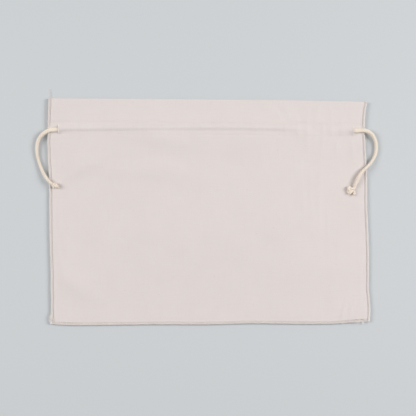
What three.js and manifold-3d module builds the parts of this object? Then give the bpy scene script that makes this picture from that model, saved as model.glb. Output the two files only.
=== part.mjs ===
// A cotton drawstring bag lying flat and empty: two hemmed panels overlocked together on three
// sides, with a cord through the casing of the front hem and a knot at each of its free ends.
// Millimetres, +Z up. The mouth is towards +Y, and the origin is on the surface under the middle.

import * as THREE from "three";
import { mergeVertices } from "three/addons/utils/BufferGeometryUtils.js";
import Module from "manifold-3d";

const { lerp, smoothstep, degToRad } = THREE.MathUtils;
const wasm = await Module();
wasm.setup();

// Driving dimensions
const bag = { width: 355, height: 249.4, loft: 6.2, rise: 66 };
const cloth = { wall: 1, gap: 0.2, clear: 0.3 };
const overlock = { width: 2.6, rim: 0.7, lip: 0.6, corner: 0.5 };
const hem = { upperStitch: 26.5, lowerStitch: 39.5, crest: 33 };
const cord = { diameter: 4, sides: 10, step: 6, exitFromSide: 12 };
const knot = { strand: 3.3, turns: 1.4, sides: 10 };
const colours = { calico: 0xe0d7d5, thread: 0xe4dcd8, cord: 0xefe3cf };

// Heights of the two panel edges where the overlock thread wraps them
const backEdge = overlock.lip + cloth.gap;
const frontEdge = backEdge + cloth.wall + cloth.gap;
const overlockTop = frontEdge + cloth.wall + cloth.gap + overlock.lip;

// How far the sides stand inside the full width, by share of the way down from the mouth
const sideInsets = [
  { down: 0, left: 1, right: 3.6 },
  { down: 0.045, left: 0.7, right: 5.6 },
  { down: 0.12, left: 0.2, right: 6.7 },
  { down: 0.2, left: 0, right: 5.6 },
  { down: 0.28, left: 0.6, right: 4.4 },
  { down: 0.36, left: 1.75, right: 3.8 },
  { down: 0.47, left: 2, right: 3.7 },
  { down: 0.59, left: 2.2, right: 2.5 },
  { down: 0.72, left: 3.1, right: 1.8 },
  { down: 0.86, left: 3.7, right: 1.8 },
  { down: 0.945, left: 3.85, right: 0 },
  { down: 1, left: 3, right: 1 },
];

// How far the mouth and the bottom stand inside the full height, and how far the cord's crest in
// the casing strays from its middle, by share of the way across from the left
const endInsets = [
  { across: 0, mouth: 0, bottom: 1.3, crest: 1.4 },
  { across: 0.06, mouth: 0.3, bottom: 0, crest: 1.3 },
  { across: 0.2, mouth: 0.7, bottom: 0.3, crest: 0.6 },
  { across: 0.35, mouth: 1.1, bottom: 0.75, crest: 0 },
  { across: 0.5, mouth: 1.5, bottom: 0.75, crest: -0.9 },
  { across: 0.63, mouth: 2, bottom: 1.9, crest: -0.8 },
  { across: 0.76, mouth: 2.4, bottom: 1.3, crest: -0.4 },
  { across: 0.88, mouth: 3.2, bottom: 1.4, crest: 0 },
  { across: 0.94, mouth: 3.5, bottom: 2.8, crest: 0.1 },
  { across: 1, mouth: 4, bottom: 3.9, crest: 0.2 },
];

// Gathers that the cord pulls into the front hem: place along the casing, width and height
const gathers = [
  { x: -128, width: 9, height: 0.35 },
  { x: -62, width: 12, height: 0.3 },
  { x: 26, width: 11, height: 0.3 },
  { x: 81, width: 8, height: 0.6 },
  { x: 108, width: 8, height: 0.7 },
  { x: 126, width: 7, height: 0.6 },
  { x: 143, width: 7, height: 0.5 },
];

// Soft folds of the front panel: middle, heading from +X in degrees, half length, half width and
// height, with a minus for a dent
const folds = [
  { x: -133, y: 38, heading: 40, length: 42, width: 13, height: -0.5 },
  { x: -146, y: -84, heading: -37, length: 36, width: 12, height: 0.5 },
  { x: 66, y: -58, heading: 62, length: 55, width: 15, height: 0.45 },
  { x: 128, y: 8, heading: 84, length: 46, width: 10, height: 0.4 },
  { x: -40, y: -20, heading: 12, length: 70, width: 20, height: 0.4 },
];

// Route of the cord's left end, from inside the casing, out at the buttonhole, over the seam,
// along the surface and back over the seam to its knot
const leftRoute = [
  { x: -157.5, y: 90.3, z: 6.1 },
  { x: -161, y: 90.25, z: 5.8 },
  { x: -164.5, y: 90.2, z: 5.6 },
  { x: -168, y: 90.15, z: 5.6 },
  { x: -172, y: 89.9, z: 5.9 },
  { x: -176.1, y: 89, z: 6.2 },
  { x: -181.2, y: 86, z: 4.8 },
  { x: -186, y: 81.2, z: 3.1 },
  { x: -188.6, y: 75.2, z: 2.25 },
  { x: -189.2, y: 69, z: 2.1 },
  { x: -188.9, y: 63.2, z: 2.1 },
  { x: -187.4, y: 56.7, z: 2.2 },
  { x: -184.7, y: 48.8, z: 3 },
  { x: -181, y: 41.4, z: 4.9 },
  { x: -177.6, y: 36.5, z: 6.3 },
  { x: -175, y: 33.2, z: 6.9 },
  { x: -172.4, y: 31, z: 7.05 },
];

// Route of the cord's right end, in the same order
const rightRoute = [
  { x: 151.5, y: 88.9, z: 6.1 },
  { x: 155, y: 88.9, z: 5.8 },
  { x: 158.6, y: 89, z: 5.6 },
  { x: 162, y: 89.1, z: 5.6 },
  { x: 166, y: 89.3, z: 5.9 },
  { x: 170.2, y: 89.2, z: 6.15 },
  { x: 174.4, y: 88, z: 5.3 },
  { x: 179, y: 84.7, z: 3.8 },
  { x: 182.2, y: 79.4, z: 2.5 },
  { x: 183.7, y: 73.2, z: 2.1 },
  { x: 183.4, y: 66.6, z: 2.1 },
  { x: 181.7, y: 60.8, z: 2.8 },
  { x: 178.2, y: 54.8, z: 4.6 },
  { x: 173.2, y: 49.4, z: 6.3 },
  { x: 168, y: 44.4, z: 7 },
  { x: 163.9, y: 39, z: 7.1 },
  { x: 161.2, y: 33.4, z: 7.4 },
  { x: 159.2, y: 29, z: 7.8 },
];

// Middle of each knot and the heading of the cord through it, the radius and length of its coil,
// and the heading and length of its cut tail
const leftKnot = {
  ...{ x: -169.3, y: 28.7, z: 7.1, heading: -37 },
  ...{ coil: 2, length: 4.6, tailHeading: -4, tail: 3.2 },
};
const rightKnot = {
  ...{ x: 156.5, y: 24.8, z: 8.2, heading: -123 },
  ...{ coil: 2.5, length: 5.2, tailHeading: -48, tail: 5 },
};

// Smooth curves through the rows of a table, one value for each named column
function throughRows(rows, station, columns) {
  const stations = rows.map((row) => row[station]);
  const values = rows.flatMap((row) => columns.map((column) => row[column]));
  const curve = new THREE.CubicInterpolant(stations, values, columns.length);
  return (at) => Object.fromEntries(columns.map((column, i) => [column, curve.evaluate(at)[i]]));
}

const sidesAt = throughRows(sideInsets, "down", ["left", "right"]);
const endsAt = throughRows(endInsets, "across", ["mouth", "bottom", "crest"]);

// A point of the bag's outline or inside it, a margin in from the three sewn edges
function inOutline(across, down, margin) {
  const sides = sidesAt(down);
  const ends = endsAt(across);
  const left = -bag.width / 2 + sides.left + margin;
  const right = bag.width / 2 - sides.right - margin;
  const mouth = bag.height / 2 - ends.mouth;
  const bottom = -bag.height / 2 + ends.bottom + margin;
  return { x: lerp(left, right, across), y: lerp(mouth, bottom, down) };
}

// Panels are sewn a little inside the overlock's outer edge, and their edges stay flat inside it
const panelMargin = overlock.rim + cloth.clear;
const panelWidth = bag.width - 2 * panelMargin;
const panelHeight = bag.height - panelMargin;
const flatEdge = overlock.width - panelMargin + 0.4;

// Where a point of a panel lies, given its distances from the left side and from the mouth
function onPanel(fromLeft, fromMouth) {
  const across = fromLeft / panelWidth;
  const inCasing = Math.max(0, 1 - Math.abs(fromMouth - hem.crest) / (hem.crest - hem.upperStitch));
  const down = (fromMouth + endsAt(across).crest * inCasing) / panelHeight;
  return {
    ...inOutline(across, down, panelMargin),
    fromSide: Math.min(fromLeft, panelWidth - fromLeft),
    fromMouth,
    fromBottom: panelHeight - fromMouth,
  };
}

const inHem = (spot) => (spot.fromMouth <= hem.lowerStitch ? 1 : 0);

// How much of the casing's ridge stands over the cord: a rounded hump that stops at the buttonholes
function ridge(spot) {
  const reach = hem.crest - hem.upperStitch;
  const off = Math.min(1, Math.abs(spot.fromMouth - hem.crest) / reach);
  const height = cord.diameter + 2 * cloth.clear;
  const inside = smoothstep(spot.fromSide, cord.exitFromSide - 0.8, cord.exitFromSide + 0.8);
  return height * inside * Math.cos((off * Math.PI) / 2) ** 2;
}

// Lift of the gathers, strongest at the casing and gone a hem's depth below it
function gathered(spot) {
  const fade = 1 - smoothstep(spot.fromMouth, hem.lowerStitch, 2 * hem.lowerStitch);
  const lift = gathers.map(({ x, width, height }) => height * Math.exp(-(((spot.x - x) / width) ** 2)));
  return fade * lift.reduce((sum, each) => sum + each, 0);
}

// Lift of the soft folds
function folded(spot) {
  const lift = folds.map(({ x, y, heading, length, width, height }) => {
    const turned = new THREE.Vector2(spot.x - x, spot.y - y).rotateAround(
      new THREE.Vector2(),
      -degToRad(heading),
    );
    return height * Math.exp(-((turned.x / length) ** 2) - (turned.y / width) ** 2);
  });
  return lift.reduce((sum, each) => sum + each, 0);
}

// Heights of the faces of the back panel, which lies on the surface and lifts only into the seams
function backUnder(spot) {
  const inward = Math.min(spot.fromSide, spot.fromBottom);
  return backEdge * (1 - smoothstep(inward, flatEdge, flatEdge + 7));
}
function backOver(spot) {
  const turnedIn = cloth.wall * inHem(spot) * smoothstep(spot.fromSide, 9, 13);
  return backUnder(spot) + cloth.wall + turnedIn;
}

// Heights of the faces of the front panel, which rises from the seams and leaves the bag open
function frontUnder(spot) {
  const fromSide = smoothstep(spot.fromSide, flatEdge, flatEdge + bag.rise);
  const fromBottom = smoothstep(spot.fromBottom, flatEdge, flatEdge + bag.rise);
  const slack = fromSide * fromBottom;
  return frontEdge + slack * (bag.loft + folded(spot) + gathered(spot));
}
function frontOver(spot) {
  const turnedIn = cloth.wall * inHem(spot) * smoothstep(spot.fromSide, flatEdge + 0.5, flatEdge + 2);
  return frontUnder(spot) + cloth.wall + turnedIn + ridge(spot);
}

// Even steps from one station to another, without the first
function steps(from, to, about) {
  const count = Math.max(1, Math.round((to - from) / about));
  return Array.from({ length: count }, (_, i) => lerp(from, to, (i + 1) / count));
}

// Stations in from one edge: the flat edge, the foot of its rise and even steps to the middle
function sideStations(about, features) {
  const near = [0, flatEdge, flatEdge + 2, ...features];
  const half = [...near, ...steps(near.at(-1), panelWidth / 2, about)];
  const mirrored = half.slice(0, -1).map((station) => panelWidth - station);
  return [...half, ...mirrored.reverse()];
}

// Stations down from the mouth: the hem, its casing, the body and the flat edge at the bottom
function mouthStations(about, casing) {
  const hemEnd = hem.lowerStitch + 1;
  const foot = panelHeight - flatEdge;
  const body = steps(hemEnd, foot - 12, about);
  return [0, 13, ...casing, hemEnd, ...body, foot - 6, foot - 2, foot, panelHeight];
}

const reach = hem.crest - hem.upperStitch;
const casingShares = [-1, -0.62, -0.3, 0, 0.3, 0.62, 1];
const casingStations = casingShares.map((share) => hem.crest + share * reach);
const exitStations = [cord.exitFromSide - 0.8, cord.exitFromSide + 0.8];
const frontColumns = sideStations(11, [7, ...exitStations, 20]);
const frontRows = mouthStations(16, casingStations);
const backColumns = sideStations(23, [5.5, 9, 13]);
const backRows = mouthStations(24, [hem.upperStitch, hem.crest, hem.lowerStitch]);

// A slab with its grid lines at the stations, between the heights of its under and over faces
function bentSlab(columns, rows, under, over) {
  const slab = new THREE.BoxGeometry(1, 1, 1, columns.length - 1, rows.length - 1, 1);
  const corner = slab.getAttribute("position");
  for (let i = 0; i < corner.count; i++) {
    const column = columns[Math.round((corner.getX(i) + 0.5) * (columns.length - 1))];
    const row = rows[Math.round((0.5 - corner.getY(i)) * (rows.length - 1))];
    const spot = onPanel(column, row);
    corner.setXYZ(i, spot.x, spot.y, corner.getZ(i) > 0 ? over(spot) : under(spot));
  }
  return slab;
}

// A round tube along a smooth curve through points
function tube(points, diameter, sides, step) {
  const path = new THREE.CatmullRomCurve3(points.map(({ x, y, z }) => new THREE.Vector3(x, y, z)));
  const section = new THREE.Shape().absarc(0, 0, diameter / 2, 0, 2 * Math.PI);
  return new THREE.ExtrudeGeometry(section, {
    steps: Math.round(path.getLength() / step),
    curveSegments: sides / 2,
    extrudePath: path,
    bevelEnabled: false,
  });
}

// Geometry to a manifold solid, and back
function solidOf(geometry) {
  const bare = new THREE.BufferGeometry().setAttribute("position", geometry.getAttribute("position"));
  bare.setIndex(geometry.index);
  const merged = mergeVertices(bare, 1e-3);
  const vertProperties = merged.getAttribute("position").array;
  const triVerts = new Uint32Array(merged.index.array);
  return new wasm.Manifold(new wasm.Mesh({ numProp: 3, vertProperties, triVerts }));
}
function geometryOf(solid) {
  const { vertProperties, triVerts } = solid.getMesh();
  const geometry = new THREE.BufferGeometry();
  geometry.setAttribute("position", new THREE.BufferAttribute(vertProperties, 3));
  geometry.setIndex(new THREE.BufferAttribute(triVerts, 1));
  geometry.computeVertexNormals();
  return geometry;
}

// Front panel: the slab, less the casing's tunnel and the buttonholes that the cord leaves by
function frontPanel() {
  const tunnelColumns = frontColumns.filter(
    (column) => Math.min(column, panelWidth - column) > cord.exitFromSide + 0.5,
  );
  const tunnelRows = casingStations.slice(1, -1);
  const floor = (spot) => frontUnder(spot) + cloth.wall;
  const ceiling = (spot) => floor(spot) + ridge(spot);
  const buttonhole = (route) =>
    solidOf(tube(route.slice(0, 6), cord.diameter + 2 * cloth.clear, cord.sides + 2, cord.step / 2));
  return geometryOf(
    solidOf(bentSlab(frontColumns, frontRows, frontUnder, frontOver))
      .subtract(solidOf(bentSlab(tunnelColumns, tunnelRows, floor, ceiling)))
      .subtract(buttonhole(leftRoute))
      .subtract(buttonhole(rightRoute)),
  );
}

// Section of the overlock: a rounded bead with a slot that both panel edges lie in, as inward
// distance from the outer edge and height
function overlockSection() {
  const { width, rim, lip, corner } = overlock;
  return [
    [corner, 0],
    [width, 0],
    [width, lip],
    [rim, lip],
    [rim, overlockTop - lip],
    [width, overlockTop - lip],
    [width - corner / 2, overlockTop],
    [corner, overlockTop],
    [0, overlockTop - 2 * corner],
    [0, 2 * corner],
  ];
}

// Overlock bead along an edge, given its outer points and the direction inwards from it
function overlockBead(edge, inward) {
  const section = overlockSection().map(([along, height]) => new THREE.Vector2(along, height));
  const caps = THREE.ShapeUtils.triangulateShape(section, []);
  const count = section.length;
  const corners = edge.flatMap((outer) =>
    section.map(({ x, y }) => [outer.x + inward.x * x, outer.y + inward.y * x, y]),
  );
  const sides = steps(0, edge.length - 1, 1).flatMap((ring) =>
    section.flatMap((_, i) => {
      const a = (ring - 1) * count + i;
      const b = (ring - 1) * count + ((i + 1) % count);
      return [a, b, b + count, a, b + count, a + count];
    }),
  );
  const last = (edge.length - 1) * count;
  const ends = caps.flatMap(([a, b, c]) => [a, c, b, last + a, last + b, last + c]);
  const geometry = new THREE.BufferGeometry();
  geometry.setAttribute("position", new THREE.Float32BufferAttribute(corners.flat(), 3));
  geometry.setIndex([...sides, ...ends]);
  return geometry;
}

// Edges in the order that turns each bead's faces outwards
const downShares = frontRows.map((row) => row / panelHeight);
const leftEdge = downShares.map((down) => inOutline(0, down, 0));
const rightEdge = downShares.map((down) => inOutline(1, down, 0)).reverse();
const sideClear = overlock.width + cloth.clear - panelMargin;
const bottomColumns = frontColumns.slice(1, -1).map((column) => Math.max(column, sideClear));
const bottomEdge = bottomColumns.map((column) => ({
  x: onPanel(Math.min(column, panelWidth - sideClear), panelHeight).x,
  y: inOutline(column / panelWidth, 1, 0).y,
}));

// The stretch of cord inside the casing, from one free end to the other
function cordInCasing() {
  const start = { ...leftRoute[0], x: leftRoute[0].x + cloth.clear };
  const end = { ...rightRoute[0], x: rightRoute[0].x - cloth.clear };
  const columns = frontColumns.filter((column) => {
    const { x } = onPanel(column, hem.crest);
    return x > start.x + cord.step && x < end.x - cord.step;
  });
  const middle = columns.map((column) => {
    const spot = onPanel(column, hem.crest);
    return { ...spot, z: frontUnder(spot) + cloth.wall + cloth.clear + cord.diameter / 2 };
  });
  return tube([start, ...middle, end], cord.diameter, cord.sides - 2, 1.5 * cord.step);
}

// A point at a distance along a heading in degrees, with its height kept
function towards(point, heading, distance) {
  const turn = degToRad(heading);
  return {
    x: point.x + Math.cos(turn) * distance,
    y: point.y + Math.sin(turn) * distance,
    z: point.z,
  };
}

// An overhand knot: the cord goes on straight through it, its coil round the cord, and the cut tail
function overhandKnot(route, middle) {
  const start = towards(route.at(-1), middle.heading, cloth.clear);
  const end = towards(middle, middle.heading, middle.length / 2);
  const tail = towards(end, middle.tailHeading, middle.tail);
  const rounds = Array.from({ length: 15 }, (_, i) => i / 14 - 0.5);
  const coil = rounds.map((share) => {
    const turn = share * knot.turns * 2 * Math.PI;
    const axis = towards(middle, middle.heading, share * (middle.length - knot.strand / 2));
    const out = towards(axis, middle.heading + 90, middle.coil * Math.cos(turn));
    return { ...out, z: axis.z + middle.coil * Math.sin(turn) };
  });
  const strand = (points) => solidOf(tube(points, knot.strand, knot.sides, knot.strand / 2));
  const lines = [[start, middle, end], [towards(end, middle.tailHeading, -0.6), end, tail]];
  // The coil is joined from arcs, because its turns touch
  lines.push(coil.slice(0, 6), coil.slice(5, 11), coil.slice(10));
  return geometryOf(lines.map(strand).reduce((whole, piece) => whole.add(piece)));
}

const finishes = {
  calico: new THREE.MeshStandardMaterial({ color: colours.calico, roughness: 0.92, metalness: 0 }),
  thread: new THREE.MeshStandardMaterial({ color: colours.thread, roughness: 0.85, metalness: 0 }),
  cord: new THREE.MeshStandardMaterial({ color: colours.cord, roughness: 0.9, metalness: 0 }),
};

const drawstringBag = new THREE.Group();
function addPiece(name, geometry, finish) {
  const piece = new THREE.Mesh(geometry, finish);
  piece.name = name;
  drawstringBag.add(piece);
}

addPiece("back_panel", bentSlab(backColumns, backRows, backUnder, backOver), finishes.calico);
addPiece("front_panel", frontPanel(), finishes.calico);
addPiece("overlock_left", overlockBead(leftEdge, { x: 1, y: 0 }), finishes.thread);
addPiece("overlock_bottom", overlockBead(bottomEdge, { x: 0, y: 1 }), finishes.thread);
addPiece("overlock_right", overlockBead(rightEdge, { x: -1, y: 0 }), finishes.thread);
addPiece("drawstring_in_casing", cordInCasing(), finishes.cord);
addPiece("drawstring_left", tube(leftRoute, cord.diameter, cord.sides, cord.step), finishes.cord);
addPiece("drawstring_right", tube(rightRoute, cord.diameter, cord.sides, cord.step), finishes.cord);
addPiece("knot_left", overhandKnot(leftRoute, leftKnot), finishes.cord);
addPiece("knot_right", overhandKnot(rightRoute, rightKnot), finishes.cord);

export default drawstringBag;
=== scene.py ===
import math
import random
from bisect import bisect

import bmesh
import bpy
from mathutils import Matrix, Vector, noise
from mathutils.geometry import interpolate_bezier


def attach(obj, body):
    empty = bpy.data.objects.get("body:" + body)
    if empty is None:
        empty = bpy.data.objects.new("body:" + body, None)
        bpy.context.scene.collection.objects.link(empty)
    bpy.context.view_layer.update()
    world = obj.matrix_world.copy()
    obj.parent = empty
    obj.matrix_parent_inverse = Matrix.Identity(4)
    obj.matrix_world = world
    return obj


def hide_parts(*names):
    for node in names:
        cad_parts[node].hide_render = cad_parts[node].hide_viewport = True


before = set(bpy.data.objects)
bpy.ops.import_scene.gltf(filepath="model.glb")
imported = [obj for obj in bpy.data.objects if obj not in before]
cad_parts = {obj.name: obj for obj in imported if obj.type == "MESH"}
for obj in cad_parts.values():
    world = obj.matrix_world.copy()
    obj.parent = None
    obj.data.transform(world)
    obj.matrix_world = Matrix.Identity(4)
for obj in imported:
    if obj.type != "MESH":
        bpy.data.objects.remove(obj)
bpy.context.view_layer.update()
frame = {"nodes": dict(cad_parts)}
mm = 0.001
print("frame loaded:", ", ".join(frame["nodes"]))


# Camera, light and floor

studio = {
    "cameraHeight": 0.80,  # over the cloth, looking straight down
    "lookAt": (-0.0011, 0.0043),
    "pictureWidth": 0.4562,  # of the picture at the cloth
    "clothHeight": 0.004,
    "worldColour": (1.0, 0.99, 0.985),
    "worldStrength": 0.41,
    "lampSize": 1.2,
    "lampSpread": 80,  # degrees: a grid keeps the light off the floor under the lamps
    "lamps": [  # a softbox on each side, as on a copy stand, each aimed past its side of the bag
        {"name": "rightSoftbox", "place": (2.0, 0.4, 1.4), "aim": (0.45, 0.03, 0), "power": 8.8},
        {"name": "leftSoftbox", "place": (-2.0, 0.4, 1.4), "aim": (-0.45, 0.03, 0), "power": 6.85},
    ],
    "floorHalf": 30,  # half the floor's width
    "floorColour": (0.58, 0.605, 0.62, 1),
    "farFloorColour": (0.96, 0.965, 0.97, 1),  # painted light: paler where the softboxes don't reach, so that it looks as bright as the room
    "farFloor": (1.4, 2.2),  # from where to where the one turns into the other
}


def makeStudio(s):
    scene = bpy.context.scene
    scene.view_settings.view_transform = "Standard"
    eye = bpy.data.cameras.new("photoCamera")
    eye.sensor_width = 36
    eye.lens = 36 * s["cameraHeight"] / s["pictureWidth"]
    camera = bpy.data.objects.new("photoCamera", eye)
    camera.location = (*s["lookAt"], s["clothHeight"] + s["cameraHeight"])
    scene.collection.objects.link(camera)
    scene.camera = camera

    world = bpy.data.worlds.new("softRoom")
    world.use_nodes = True
    sky = world.node_tree.nodes["Background"]
    sky.inputs["Color"].default_value = (*s["worldColour"], 1)
    sky.inputs["Strength"].default_value = s["worldStrength"]
    scene.world = world

    for row in s["lamps"]:
        lamp = bpy.data.lights.new(row["name"], "AREA")
        lamp.shape = "DISK"
        lamp.size = s["lampSize"]
        lamp.spread = math.radians(s["lampSpread"])
        lamp.energy = row["power"]
        light = bpy.data.objects.new(row["name"], lamp)
        light.location = row["place"]
        aim = Vector(row["aim"]) - Vector(row["place"])
        light.rotation_euler = aim.to_track_quat("-Z", "Y").to_euler()
        light.visible_camera = False
        scene.collection.objects.link(light)


makeStudio(studio)
print("camera and lights ready")


# Shader maths

class Shade:
    # one output of a node, so that shader maths reads as a plain sum
    def __init__(self, tree, socket=None):
        self.tree = tree
        self.socket = socket

    def node(self, kind, settings=None, values=None, out=0):
        made = self.tree.nodes.new(kind)
        for name, value in (settings or {}).items():
            setattr(made, name, value)
        for name, value in (values or {}).items():
            if isinstance(value, Shade):
                self.tree.links.new(value.socket, made.inputs[name])
            else:
                made.inputs[name].default_value = value
        return Shade(self.tree, made.outputs[out])

    def maths(self, operation, *terms):
        return self.node("ShaderNodeMath", {"operation": operation}, dict(enumerate(terms)))

    def __add__(self, other):
        return self.maths("ADD", self, other)

    def __sub__(self, other):
        return self.maths("SUBTRACT", self, other)

    def __rsub__(self, other):
        return self.maths("SUBTRACT", other, self)

    def __mul__(self, other):
        return self.maths("MULTIPLY", self, other)

    __radd__ = __add__
    __rmul__ = __mul__

    def sine(self):
        return self.maths("SINE", self)

    def size(self):
        return self.maths("ABSOLUTE", self)

    def clamped(self):
        return self.node("ShaderNodeClamp", values={"Value": self})

    def part(self, name):
        return self.node("ShaderNodeSeparateXYZ", values={"Vector": self}, out=name)

    def mixed(self, first, second):
        # between two colours, by this value
        return self.node("ShaderNodeMix", {"data_type": "RGBA"}, {0: self, 6: first, 7: second}, out=2)

    def stretched(self, scale, turn=0.0):
        return self.node(
            "ShaderNodeMapping",
            values={"Vector": self, "Scale": scale, "Rotation": (0, 0, turn)},
        )

    def cloudy(self, scale, detail=2.0, roughness=0.5):
        return self.node(
            "ShaderNodeTexNoise",
            values={"Vector": self, "Scale": scale, "Detail": detail, "Roughness": roughness},
        )

    def raised(self, height, distance, normal=None):
        # a bump of this height, over another bump if there is one
        values = {"Height": height, "Distance": distance, "Strength": 1.0}
        if normal:
            values["Normal"] = normal
        return self.node("ShaderNodeBump", values=values)


def newFinish(name, roughness, sheen):
    finish = bpy.data.materials.new(name)
    finish.use_nodes = True
    shader = finish.node_tree.nodes["Principled BSDF"]
    shader.inputs["Roughness"].default_value = roughness
    shader.inputs["Sheen Weight"].default_value = sheen
    shader.inputs["Sheen Roughness"].default_value = 0.6
    shader.inputs["Specular IOR Level"].default_value = 0.2
    return finish, shader, Shade(finish.node_tree)


def plug(shade, socket):
    shade.tree.links.new(shade.socket, socket)


calico = {
    "colour": (0.735, 0.674, 0.655, 1),
    # darker tone of thick yarns and mottle, and painted shade in the gaps between the yarns
    "shadow": (0.632, 0.572, 0.550, 1),
    "fleck": (0.52, 0.43, 0.34, 1),
    "pitch": 0.55 * mm,  # from one yarn to the next
    "weaveDepth": 0.05 * mm,
    "slubDepth": 0.04 * mm,
    "crumpleDepth": 0.16 * mm,
    "roughness": 0.92,
}


def makeCalico(c):
    finish, shader, shade = newFinish("calico", c["roughness"], 0.1)
    cloth = shade.node("ShaderNodeUVMap", {"uv_map": "cut"})  # metres along the cut cloth
    wander = cloth.cloudy(260, 1) * 0.5  # yarns that don't run quite straight
    warp = ((cloth.part("X") * (1 / c["pitch"]) + wander) * math.pi).sine()
    weft = ((cloth.part("Y") * (1 / c["pitch"]) + wander) * math.pi).sine()
    warpOver = (warp * weft * 4 + 0.5).clamped()
    weave = warp.size() * warpOver + weft.size() * (1 - warpOver)
    warpSlub = cloth.stretched((30, 1000, 1)).cloudy(1, 2)  # thick and thin places of the yarns
    weftSlub = cloth.stretched((1000, 30, 1)).cloudy(1, 2)
    slub = (warpSlub + weftSlub) * 0.5
    mottle = cloth.cloudy(34, 3, 0.6)
    fleckMap = cloth.stretched((420, 800, 1)).cloudy(1, 0)
    fleck = ((fleckMap - 0.79) * 12).clamped() * 0.35
    # darker with the slubs and the mottle, and painted shade where the weave lies low between the yarns
    depth = ((slub - 0.5) * 0.5 + (mottle - 0.5) * 0.35 + (0.62 - weave) * 0.3 + 0.2).clamped()
    plug(fleck.mixed(depth.mixed(c["colour"], c["shadow"]), c["fleck"]), shader.inputs["Base Color"])
    plug(0.86 + slub * 0.12, shader.inputs["Roughness"])
    crumpled = shade.raised(cloth.cloudy(70, 2, 0.45), c["crumpleDepth"])
    yarns = shade.raised(slub, c["slubDepth"], crumpled)
    plug(shade.raised(weave, c["weaveDepth"], yarns), shader.inputs["Normal"])
    return finish


sewingThread = {
    "colour": (0.93, 0.87, 0.84, 1),
    # darker fibres, and painted shade in the grooves of the twist
    "shadow": (0.80, 0.735, 0.70, 1),
    "twist": 1.1 * mm,
    "depth": 0.05 * mm,
    "roughness": 0.85,
}
hemTone = {  # the hem's thread has the cloth's tone
    "colour": (0.78, 0.72, 0.70, 1),
    # darker fibres, and painted shade in the grooves of the twist, as for the sewing thread
    "shadow": (0.66, 0.60, 0.575, 1),
}


def makeThread(name, t):
    finish, shader, shade = newFinish(name, t["roughness"], 0.15)
    strand = shade.node("ShaderNodeUVMap", {"uv_map": "along"})  # a turn round, metres along
    twist = strand.part("X") * math.tau * 2 + strand.part("Y") * (math.tau / t["twist"])
    ply = twist.sine() * 0.5 + 0.5
    fibre = strand.stretched((9, 1500, 1)).cloudy(1, 2)
    # painted shade in the grooves between the plies, with darker fibres at random
    deep = ((1 - ply) * 0.45 + (fibre - 0.5) * 0.6).clamped()
    plug(deep.mixed(t["colour"], t["shadow"]), shader.inputs["Base Color"])
    plug(0.78 + fibre * 0.16, shader.inputs["Roughness"])
    plug(shade.raised(ply + fibre * 0.4, t["depth"]), shader.inputs["Normal"])
    return finish


cottonCord = {
    "colour": (0.925, 0.825, 0.72, 1),
    # painted shade in the crevices of the braid, and darker fibres and patches
    "creviceShadeAndTone": (0.55, 0.455, 0.34, 1),
    "fibreDepth": 0.07 * mm,
    "roughness": 0.93,
}


def makeCotton(c):
    finish, shader, shade = newFinish("cottonCord", c["roughness"], 0.2)
    strand = shade.node("ShaderNodeUVMap", {"uv_map": "along"})
    relief = shade.node("ShaderNodeAttribute", {"attribute_name": "relief"}, out="Fac")
    fibre = strand.stretched((60, 420, 1), 0.3).cloudy(1, 3)
    patchy = strand.stretched((2, 110, 1)).cloudy(1, 2)
    # painted shade in the braid's crevices where the strands stand low, with darker fibres and patches at
    # random
    deep = ((1 - relief) * 1.25 + (fibre - 0.5) * 0.6 + (patchy - 0.5) * 0.4 - 0.22).clamped()
    plug(deep.mixed(c["colour"], c["creviceShadeAndTone"]), shader.inputs["Base Color"])
    plug(0.84 + fibre * 0.14, shader.inputs["Roughness"])
    plug(shade.raised(fibre, c["fibreDepth"]), shader.inputs["Normal"])
    return finish


finishes = {
    "calico": makeCalico(calico),
    "thread": makeThread("sewingThread", sewingThread),
    "hemThread": makeThread("hemThread", {**sewingThread, **hemTone}),
    "cord": makeCotton(cottonCord),
}
print("materials ready:", ", ".join(finishes))


# Small tools for pieces

def finishPiece(name, bm, slot, replaced=(), finish=None):
    mesh = bpy.data.meshes.new(name)
    bm.to_mesh(mesh)
    bm.free()
    for face in mesh.polygons:
        face.use_smooth = True
    mesh.materials.append(finishes[finish or slot])
    piece = bpy.data.objects.new(name, mesh)
    bpy.context.scene.collection.objects.link(piece)
    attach(piece, "root")
    if replaced:
        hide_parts(*replaced)
    print("made", name, len(mesh.polygons), "faces")
    return piece


def smoothStep(value, low, high):
    share = min(1, max(0, (value - low) / (high - low)))
    return share * share * (3 - 2 * share)


def between(low, high, share):
    return low + (high - low) * share


def hump(off, width):
    return math.exp(-((off / width) ** 2))


def swell(off, half):
    # a hump that ends at its half width
    return math.cos(min(1, abs(off) / half) * math.pi / 2) ** 2


def evenSteps(low, high, about):
    # stations up to the second one, without the first
    count = max(1, round(abs(high - low) / about))
    return [between(low, high, (i + 1) / count) for i in range(count)]


def tableCurve(rows, station, column):
    # a smooth curve through one column of a table
    at = [row[station] for row in rows]
    value = [row[column] for row in rows]
    last = len(at) - 1
    slope = []
    for i in range(last + 1):
        a, b = max(i - 1, 0), min(i + 1, last)
        slope.append((value[b] - value[a]) / (at[b] - at[a]))

    def curve(t):
        i = min(max(bisect(at, t), 1), last)
        step = at[i] - at[i - 1]
        s = (t - at[i - 1]) / step
        return (
            value[i - 1] * (1 + 2 * s) * (1 - s) ** 2
            + slope[i - 1] * step * s * (1 - s) ** 2
            + value[i] * s * s * (3 - 2 * s)
            + slope[i] * step * s * s * (s - 1)
        )

    return curve


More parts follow.
